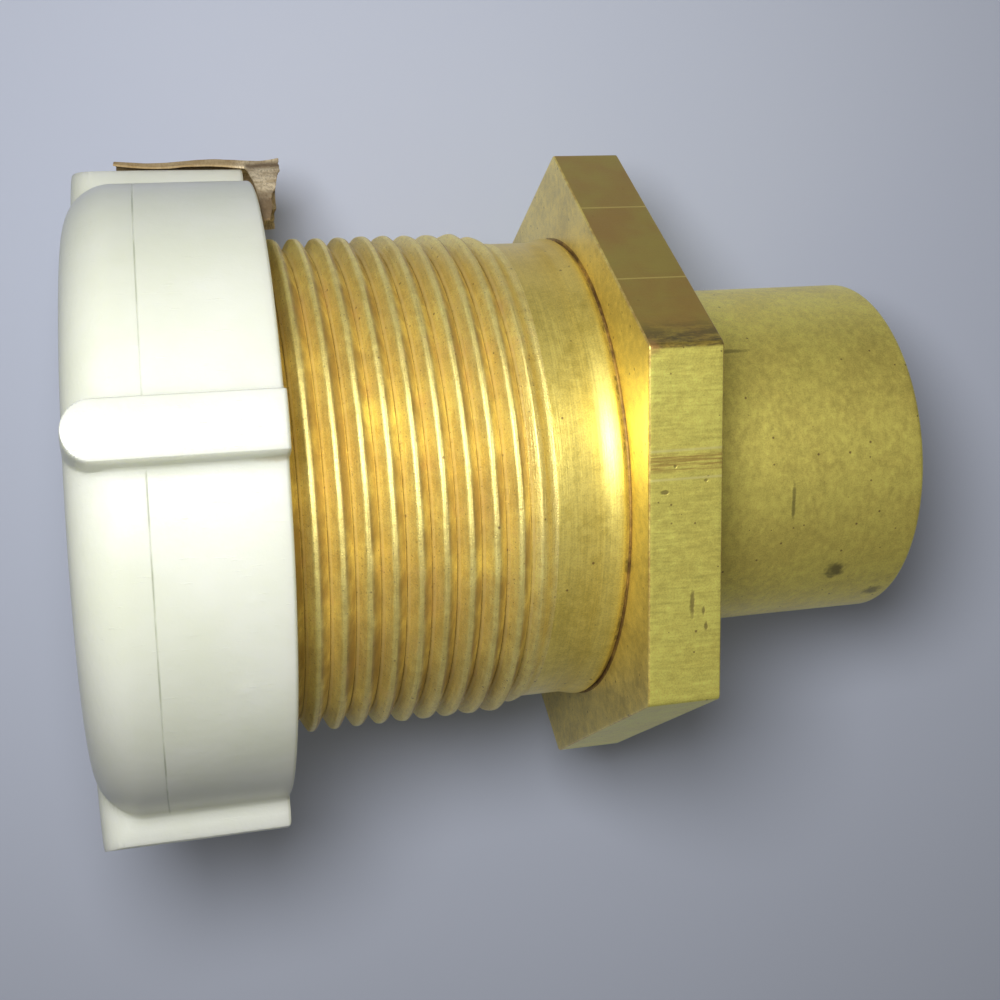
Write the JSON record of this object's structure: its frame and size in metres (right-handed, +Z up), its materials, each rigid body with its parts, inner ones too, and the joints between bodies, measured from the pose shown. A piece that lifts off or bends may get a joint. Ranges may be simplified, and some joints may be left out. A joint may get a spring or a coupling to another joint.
{
  "type": "thru hull fitting",
  "caption": "Threaded brass thru hull fitting with a hexagon flange and a plain spigot, a ribbed plastic slip nut, a tapered sealing washer and a scrap of tape.",
  "frame": {"origin": "bottom centre of the bounding box, on the surface that the fitting lies on", "axes": "+Z up; +X along the fitting's length from the nut to the spigot, seen from above. The fitting's own axis runs along [0.9953, 0, -0.0972], because it lies on a rib of the nut and on an edge of the hexagon"},
  "size_m": [0.0838, 0.0634, 0.0632],
  "materials": {
    "brass": "turned and milled, lightly tarnished",
    "white_plastic": "satin moulded polyethylene",
    "washer_plastic": "soft moulded polyethylene",
    "masking_tape": "creped paper tape, dry and curled"
  },
  "bodies": {
    "fitting": {"fitting_body": "brass"},
    "washer": {"slip_washer": "washer_plastic"},
    "nut": {"slip_nut": "white_plastic", "tape_remnant": "masking_tape"}
  },
  "joints": [
    {"name": "nut_travel", "type": "slide", "parent": "fitting", "child": "washer", "axis": [0.9953, 0, -0.0972], "range_m": [-0.01114, 0]},
    {"name": "nut_turn", "type": "hinge", "parent": "washer", "child": "nut", "pos_m": [-0.03048, 0, 0.03172], "axis": [0.9953, 0, -0.0972], "range_deg": [-1800, 0]}
  ],
  "couplings": [
    {"joint": "nut_travel", "follows": "nut_turn", "m_per_rad": 0.00035152}
  ]
}
